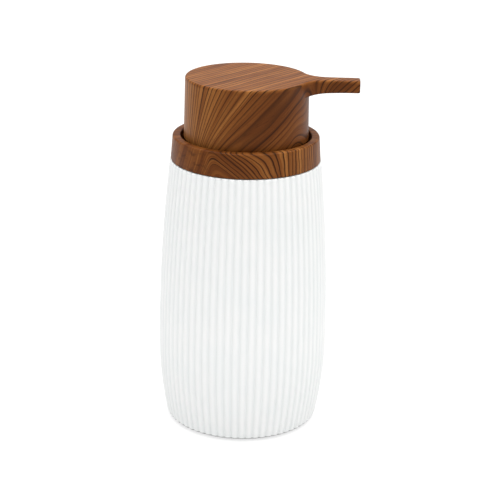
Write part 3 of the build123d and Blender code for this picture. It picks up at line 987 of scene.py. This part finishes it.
def make_collar_wood():
    """Arches: the larger of a right flank p = u + lean(p) v and a steep left one, 0.3 v - 1.3 u.

    u runs round the ring from the arch and v upwards.  The right flank's lean depends on where
    its own line started, so p is found by putting it back in three times.  Both flanks fade to
    upright lines at the back, where u starts again from the other end.
    """
    finish = Finish("wood_collar", specular_IOR_level=wood_gloss)
    x, y, z = finish.place()
    arch = math.radians(arch_azimuth)
    ahead = x * math.cos(arch) + y * math.sin(arch)
    aside = y * math.cos(arch) - x * math.sin(arch)
    u = aside.math("ARCTAN2", ahead) * collar_top_radius
    near = 1 - u.math("ABSOLUTE").step(*arch_reach)
    v = (z - collar_foot).clamp(0.0, grain_height) * near
    right_flank = u
    for guess in range(arch_guesses):
        right_flank = u + v * (1 - right_flank.step(*arch_lean_fade)) * arch_lean
    left_flank = v * left_climb - u * (left_slope - (u * -1).step(*left_fade) * left_slope_loss)
    wave = finish.noise(x / 18, y / 18, z / 10, detail=2.0)
    arches = smooth_larger(right_flank, left_flank, arch_round)
    across = arches + wave * 1.8
    blotchy = (u * -1).step(1.0, 9.0) * near
    along = v + wave * 6.0 + blotchy * finish.noise(x / 5, y / 5, z / 4) * 22.0
    warm = u.step(4.0, 34.0) * near * 0.5 + wave * 0.4
    figure = (1.8 - blotchy * 1.4) * arches.step(6.0, 10.0)
    colour, hair, lines = grain_colour(
        finish, across + collar_grain_shift, along, warm, collar_ring_width, figure
    )
    knots = finish.noise(u / 4, v / 2.5, 3.0, detail=3.0, roughness=0.6).step(0.5, 0.72)
    colour = finish.mix(knots * (u * -1).step(-1.0, 6.0) * near * 0.55, colour, dark_line)
    coat_wood(finish, colour, hair, lines)
    return finish


cover(make_head_wood(), head_skin)
cover(make_collar_wood(), collar_skin)

# %% [markdown]
# ## Moulded plastics, foam and steel
#
# The working parts inside are plain mouldings, but no moulding is perfectly even: the milky
# ones vary a little with their wall, all have a faint orange peel, and the foam pad is full of
# pores.  One function makes the plastics from a few numbers, and foam and steel have their own.

# %% Moulded plastic
def make_plastic(name, light, dark, roughness, peel=0.02, **constants):
    """Colour between two tones by slow noise, and a faint orange peel."""
    finish = Finish(name, **constants)
    x, y, z = finish.place()
    slow = finish.noise(x / 6, y / 6, z / 9, detail=2.0)
    fine = finish.noise(x / 0.9, y / 0.9, z / 0.9, detail=2.0)
    finish.set(base_color=finish.mix(slow.step(0.3, 0.7), light, dark), roughness=roughness + fine * 0.08)
    finish.bump(fine, peel, 0.5)
    return finish


cover(make_plastic("neck_plastic", (0.80, 0.80, 0.79), (0.74, 0.74, 0.73), 0.32), nodes["neck_insert"])
cap_plastic = make_plastic("cap_plastic", (0.055, 0.034, 0.022), (0.040, 0.024, 0.016), 0.36)
cover(cap_plastic, nodes["closure_cap"], nodes["head_insert"], nodes["stem_guide"])
pump_plastic = make_plastic("pump_plastic", (0.78, 0.80, 0.80), (0.70, 0.72, 0.72), 0.28, coat_weight=0.2)
cover(pump_plastic, nodes["pump_housing"], nodes["spring_seat"], nodes["plunger_rod"], nodes["stem"])
cover(make_plastic("piston_plastic", (0.62, 0.66, 0.68), (0.52, 0.57, 0.60), 0.4), nodes["piston_seal"])
tube_plastic = make_plastic("tube_plastic", (0.76, 0.79, 0.80), (0.68, 0.72, 0.73), 0.22)
cover(tube_plastic, nodes["dip_tube"], nodes["outlet_tube"])


# %% Foam
def make_foam(name, light, dark, cell):
    """Closed-cell foam: round cells from a Voronoi pattern darken the colour and dent the skin."""
    finish = Finish(name, roughness=0.9, specular_IOR_level=0.2)
    x, y, z = finish.place()
    cells = finish.node("TexVoronoi", {}, Vector=finish.vector(x / cell, y / cell, z / cell), Scale=1.0)
    slow = finish.noise(x / 7, y / 7, z / 7)
    finish.set(base_color=finish.mix(cells.step(0.1, 0.7) * 0.7 + slow * 0.3, dark, light))
    finish.bump(cells, 0.12, 0.8)
    return finish


cover(make_foam("foam_pad", (0.070, 0.070, 0.072), (0.030, 0.030, 0.032), 0.9), nodes["base_pad"])
cover(make_foam("gasket_foam", (0.72, 0.72, 0.70), (0.55, 0.55, 0.53), 0.5), nodes["neck_gasket"])


# %% Steel
def make_steel(name, roughness, scratch):
    """Bright stainless steel; fine noise stretched round the axis leaves drawing marks."""
    finish = Finish(name, metallic=1.0)
    x, y, z = finish.place()
    marks = finish.noise(x / 1.5, y / 1.5, z / 0.06, detail=3.0)
    finish.set(
        base_color=finish.mix(marks, (0.50, 0.50, 0.49), (0.64, 0.63, 0.61)),
        roughness=roughness + marks * scratch,
    )
    finish.bump(marks, 0.01, 0.4)
    return finish


cover(make_steel("spring_steel", 0.22, 0.16), return_coil)
cover(make_steel("ball_steel", 0.10, 0.05), nodes["inlet_ball"])

# %% [markdown]
# ## Floor and light
#
# A pale floor that glows a little, as a light table does, one broad soft light above and a sky
# that is bright at the horizon: nothing casts a hard shadow, the flat top is brighter than the
# sides, and the white bottle still reads against the floor.

# %% Floor
floor_tone = (0.30, 0.30, 0.30)
floor_glow = 0.70
floor_half = 12.0  # metres


def make_floor():
    """Large flat sheet of opal acrylic, 24 m wide, lit evenly from below like a light table."""
    finish = Finish(
        "opal_sheet",
        specular_IOR_level=0.0,
        emission_color=(1.0, 1.0, 1.0),
        emission_strength=floor_glow,
    )
    x, y, z = finish.place()
    slow = finish.noise(x / 90, y / 90, z / 90)
    finish.set(base_color=finish.mix(slow, floor_tone, tuple(0.985 * c for c in floor_tone)), roughness=0.9)
    corners = [(-floor_half, -floor_half, 0), (floor_half, -floor_half, 0)]
    corners += [(floor_half, floor_half, 0), (-floor_half, floor_half, 0)]
    mesh = bpy.data.meshes.new("floor")
    mesh.from_pydata(corners, [], [(0, 1, 2, 3)])
    floor = bpy.data.objects.new("floor", mesh)
    bpy.context.scene.collection.objects.link(floor)
    cover(finish, floor)


make_floor()


# %% Lights
def add_panel(name, place, size, power):
    """Square area light that looks at the dispenser's middle."""
    data = bpy.data.lights.new(name, "AREA")
    data.shape, data.size, data.energy = "SQUARE", size, power
    panel = bpy.data.objects.new(name, data)
    panel.location = place
    panel.visible_camera = False
    panel.rotation_euler = (sight_point_m - Vector(place)).to_track_quat("-Z", "Y").to_euler()
    bpy.context.scene.collection.objects.link(panel)


sight_point_m = Vector(sight_point * MM)
sky_high, sky_low = 0.40, 0.88  # brightness overhead, and at the horizon
sky_from, sky_to = 0.15, 0.5  # height of the ray, from 0 level to 1 upright, over which it dims
add_panel("above", place=(0.07, 0.0, 1.6), size=2.4, power=65.0)  # metres and watts


def make_sky():
    """Plain sky: bright at the horizon like a studio's wall, dimmer above, by the height of the ray."""
    sky = bpy.data.worlds.new("sky")
    sky.use_nodes = True
    made, link = sky.node_tree.nodes.new, sky.node_tree.links.new
    ray, split, blend = made("ShaderNodeTexCoord"), made("ShaderNodeSeparateXYZ"), made("ShaderNodeMapRange")
    blend.interpolation_type = "SMOOTHSTEP"
    dimming = {"From Min": sky_from, "From Max": sky_to, "To Min": sky_low, "To Max": sky_high}
    for name, value in dimming.items():
        blend.inputs[name].default_value = value
    link(ray.outputs["Object"], split.inputs[0])
    link(split.outputs["Z"], blend.inputs["Value"])
    background = sky.node_tree.nodes["Background"]
    background.inputs["Color"].default_value = (1.0, 1.0, 1.0, 1.0)
    link(blend.outputs[0], background.inputs["Strength"])
    bpy.context.scene.world = sky


make_sky()
bpy.context.scene.view_settings.view_transform = "Standard"
